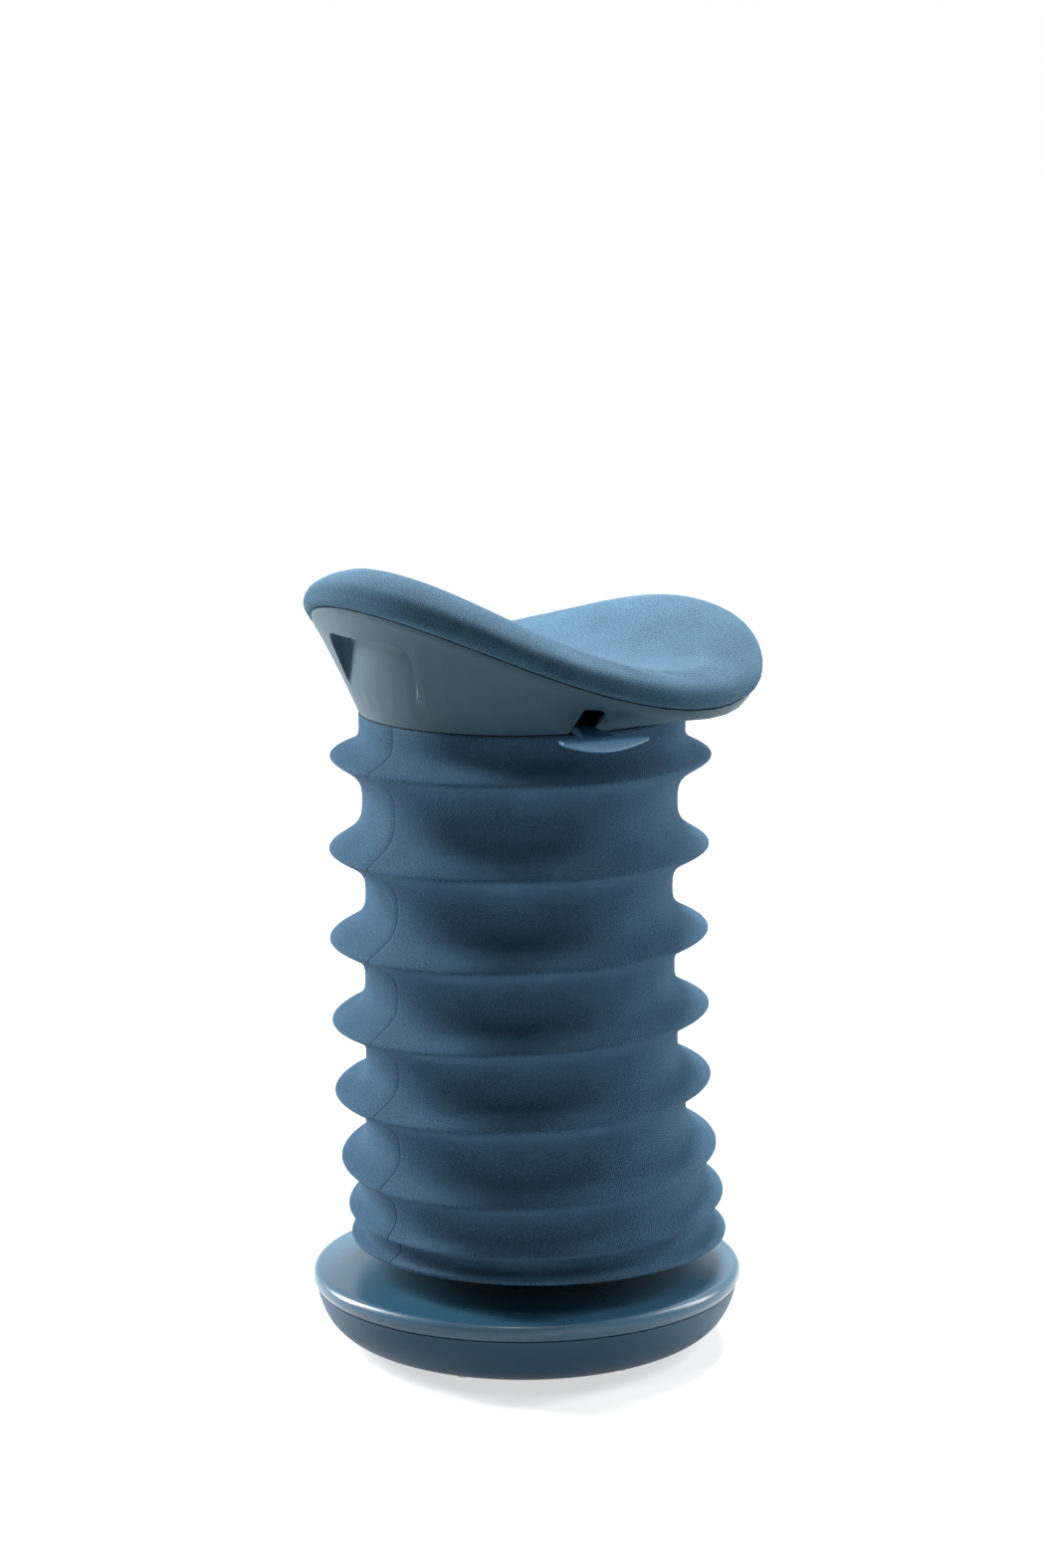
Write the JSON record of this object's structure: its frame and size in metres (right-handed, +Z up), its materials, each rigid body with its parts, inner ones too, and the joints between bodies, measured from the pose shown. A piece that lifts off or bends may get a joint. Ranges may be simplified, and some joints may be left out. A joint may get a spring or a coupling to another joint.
{
  "type": "wobble stool",
  "caption": "Height-adjustable wobble stool: saddle seat with a rear finger grip and lever, on a leaning gas-lift column inside a fabric bellows, on a round weighted base.",
  "frame": {"origin": "on the floor under the column axis, at the centre of the rubber pad", "axes": "+Z up along the column; the sitter faces -Y, the finger grip is at +Y, the height lever is near -X"},
  "size_m": [0.399, 0.3783, 0.6619],
  "materials": {
    "bowl_plastic": "moulded, fine grain, petrol blue",
    "cover_plastic": "moulded, satin gloss, petrol blue",
    "shell_plastic": "moulded, satin, petrol blue",
    "lever_plastic": "moulded, semi-gloss, petrol blue",
    "frame_plastic": "glass-filled black nylon",
    "bush_plastic": "natural acetal",
    "seat_fabric": "knitted polyester cover, petrol blue",
    "bellows_fabric": "fine knitted stretch fabric, petrol blue",
    "foam": "moulded polyurethane foam",
    "rubber": "black rubber",
    "steel": "zinc-plated",
    "chrome": "hard chrome, polished",
    "hoop_wire": "spring steel wire",
    "steel_painted": "black powder coat",
    "cast_iron": "cast iron, painted"
  },
  "bodies": {
    "base": {"base_bowl": "bowl_plastic", "floor_pad": "rubber", "base_cover": "cover_plastic", "cover_screws": "steel", "ballast_plate": "cast_iron", "swing_bracket": "steel_painted", "ballast_screws": "steel", "bracket_screws": "steel", "swing_buffer": "rubber", "base_swing_pins": "steel"},
    "swing_ring": {"swing_ring": "steel_painted", "hub_swing_pins": "steel"},
    "column": {"swing_hub": "steel_painted", "column_tube": "steel_painted", "tube_end_cap": "steel", "guide_bush": "bush_plastic", "thrust_washers": "steel", "thrust_balls": "steel", "piston_rod": "chrome", "rod_clip": "steel", "piston": "bush_plastic", "bellows_bottom_ring": "frame_plastic", "bottom_ring_screws": "steel", "bellows_fabric": "bellows_fabric"},
    "carriage": {"bellows_top_ring": "frame_plastic", "slip_ring": "bush_plastic"},
    "seat": {"gas_cylinder": "chrome", "cylinder_end_guide": "bush_plastic", "seat_plate": "steel_painted", "seat_plate_screws": "steel", "bellows_carrier": "frame_plastic", "carrier_clip": "steel", "seat_pan": "frame_plastic", "seat_foam": "foam", "seat_cover": "seat_fabric", "seat_shell": "shell_plastic", "shell_screws": "steel", "lever_pivot_pin": "steel"},
    "lever": {"lever_arm": "steel", "lever_handle": "lever_plastic"},
    "valve_button": {"valve_button": "steel"},
    "hoop_1": {"hoop_1": "hoop_wire"},
    "hoop_2": {"hoop_2": "hoop_wire"},
    "hoop_3": {"hoop_3": "hoop_wire"},
    "hoop_4": {"hoop_4": "hoop_wire"},
    "hoop_5": {"hoop_5": "hoop_wire"},
    "hoop_6": {"hoop_6": "hoop_wire"},
    "hoop_7": {"hoop_7": "hoop_wire"},
    "hoop_8": {"hoop_8": "hoop_wire"}
  },
  "joints": [
    {"name": "lean_front_back", "type": "hinge", "parent": "base", "child": "swing_ring", "pos_m": [0, 0, 0.042], "axis": [1, 0, 0], "range_deg": [-5, 5], "stiffness_Nm_per_rad": 250, "deforming": ["swing_buffer"]},
    {"name": "lean_side", "type": "hinge", "parent": "swing_ring", "child": "column", "pos_m": [0, 0, 0.042], "axis": [0, 1, 0], "range_deg": [-5, 5], "stiffness_Nm_per_rad": 250},
    {"name": "lift", "type": "slide", "parent": "column", "child": "carriage", "axis": [0, 0, 1], "range_m": [-0.11, 0.09], "deforming": ["bellows_fabric"]},
    {"name": "swivel", "type": "hinge", "parent": "carriage", "child": "seat", "pos_m": [0, 0, 0], "axis": [0, 0, 1], "continuous": true},
    {"name": "lever_pull", "type": "hinge", "parent": "seat", "child": "lever", "pos_m": [-0.04614, 0.01323, 0.5432], "axis": [0.2756, 0.9613, 0], "range_deg": [0, 3], "stiffness_Nm_per_rad": 6, "springref_deg": -3.44},
    {"name": "valve_press", "type": "slide", "parent": "seat", "child": "valve_button", "axis": [0, 0, -1], "range_m": [-0.0002, 0.003]},
    {"name": "hoop_1_follow", "type": "slide", "parent": "column", "child": "hoop_1", "axis": [0, 0, 1], "range_m": [-0.10842, 0.0888]},
    {"name": "hoop_2_follow", "type": "slide", "parent": "column", "child": "hoop_2", "axis": [0, 0, 1], "range_m": [-0.0932, 0.07634]},
    {"name": "hoop_3_follow", "type": "slide", "parent": "column", "child": "hoop_3", "axis": [0, 0, 1], "range_m": [-0.06952, 0.05697]},
    {"name": "hoop_4_follow", "type": "slide", "parent": "column", "child": "hoop_4", "axis": [0, 0, 1], "range_m": [-0.04508, 0.03698]},
    {"name": "hoop_5_follow", "type": "slide", "parent": "column", "child": "hoop_5", "axis": [0, 0, 1], "range_m": [-0.02471, 0.02031]},
    {"name": "hoop_6_follow", "type": "slide", "parent": "column", "child": "hoop_6", "axis": [0, 0, 1], "range_m": [-0.00942, 0.0078]},
    {"name": "hoop_7_follow", "type": "slide", "parent": "column", "child": "hoop_7", "axis": [0, 0, 1], "range_m": [-0.00261, 0.00223]},
    {"name": "hoop_8_follow", "type": "slide", "parent": "column", "child": "hoop_8", "axis": [0, 0, 1], "range_m": [-0.00061, 0.00059]}
  ],
  "couplings": [
    {"joint": "hoop_1_follow", "follows": "lift", "ratio": 0.9811},
    {"joint": "hoop_2_follow", "follows": "lift", "ratio": 0.8427},
    {"joint": "hoop_3_follow", "follows": "lift", "ratio": 0.6275},
    {"joint": "hoop_4_follow", "follows": "lift", "ratio": 0.4053},
    {"joint": "hoop_5_follow", "follows": "lift", "ratio": 0.2201},
    {"joint": "hoop_6_follow", "follows": "lift", "ratio": 0.0811},
    {"joint": "hoop_7_follow", "follows": "lift", "ratio": 0.0192},
    {"joint": "hoop_8_follow", "follows": "lift", "ratio": 0.001},
    {"joint": "valve_press", "follows": "lever_pull", "m_per_rad": 0.052}
  ]
}
